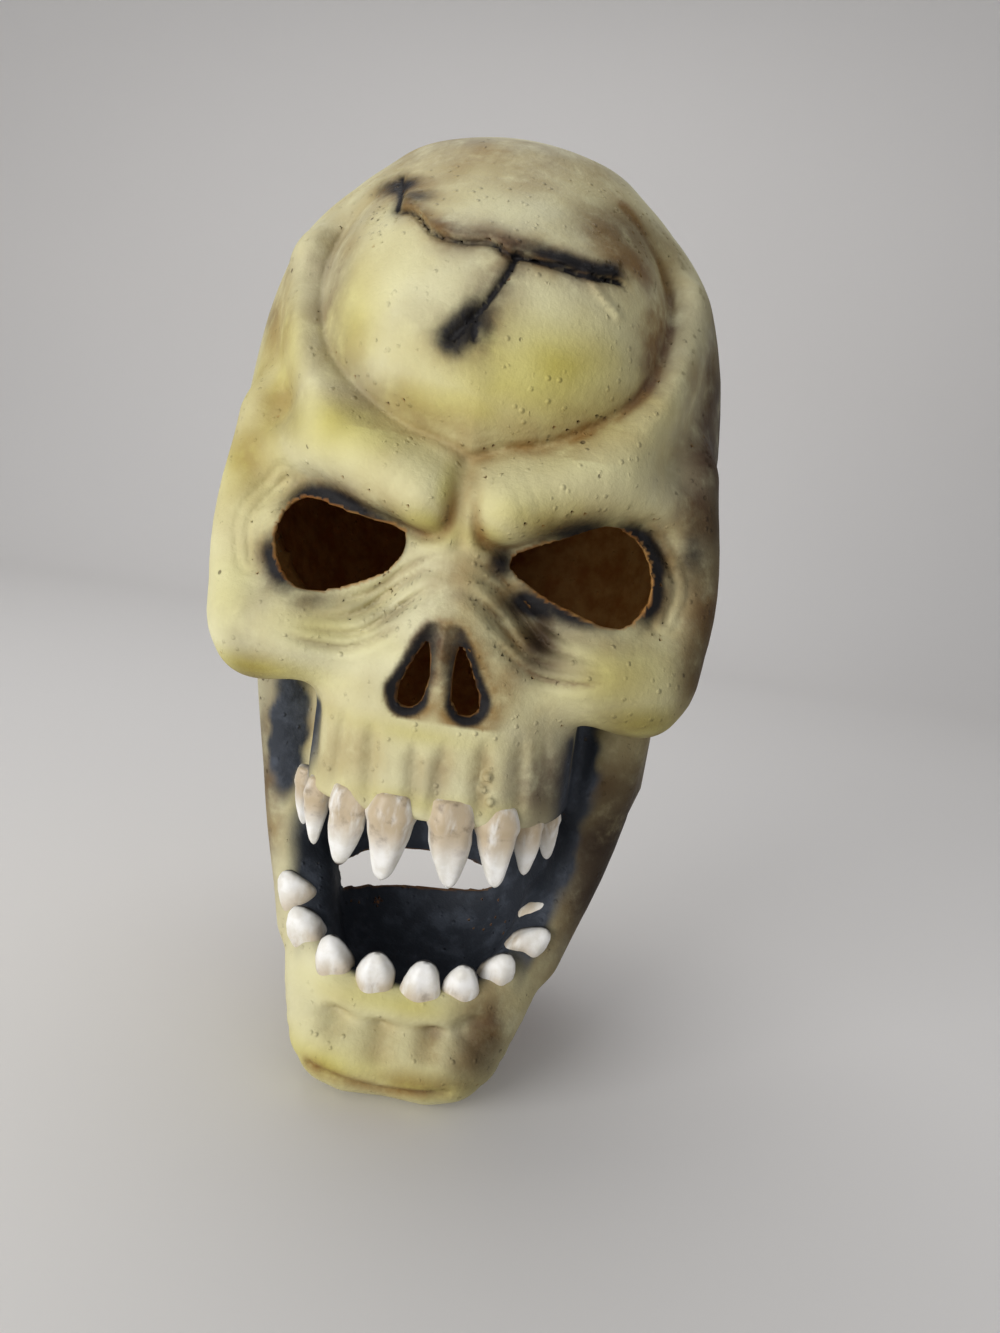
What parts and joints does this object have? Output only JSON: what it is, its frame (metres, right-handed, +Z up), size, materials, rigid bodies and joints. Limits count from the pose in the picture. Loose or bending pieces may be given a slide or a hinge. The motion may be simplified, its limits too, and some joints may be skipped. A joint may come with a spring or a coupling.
{
  "type": "skull mask",
  "caption": "Full head skull mask: hollow cast shell with cut eye holes, nostrils and throat slot, an open neck edge, and rows of fangs set in its gums.",
  "frame": {"origin": "inside top of the crown, where the mask bears on the wearer's head", "axes": "+X to the viewer's right when the face is seen from the front, +Y from the face to the back of the head, +Z up"},
  "size_m": [0.2051, 0.2334, 0.381],
  "materials": {
    "latex_bone": "matt bone paint on cast latex, darkened in the grooves",
    "tooth_paint": "satin off-white paint on cast latex, ochre towards the gums"
  },
  "bodies": {
    "root": {"skull_shell": "latex_bone", "upper_tooth_1": "tooth_paint", "upper_tooth_2": "tooth_paint", "upper_tooth_3": "tooth_paint", "upper_tooth_4": "tooth_paint", "upper_tooth_5": "tooth_paint", "upper_tooth_6": "tooth_paint", "upper_tooth_7": "tooth_paint", "upper_tooth_8": "tooth_paint", "lower_tooth_1": "tooth_paint", "lower_tooth_2": "tooth_paint", "lower_tooth_3": "tooth_paint", "lower_tooth_4": "tooth_paint", "lower_tooth_5": "tooth_paint", "lower_tooth_6": "tooth_paint", "lower_tooth_7": "tooth_paint", "lower_tooth_8": "tooth_paint", "lower_tooth_9": "tooth_paint", "lower_tooth_10": "tooth_paint"}
  },
  "joints": []
}
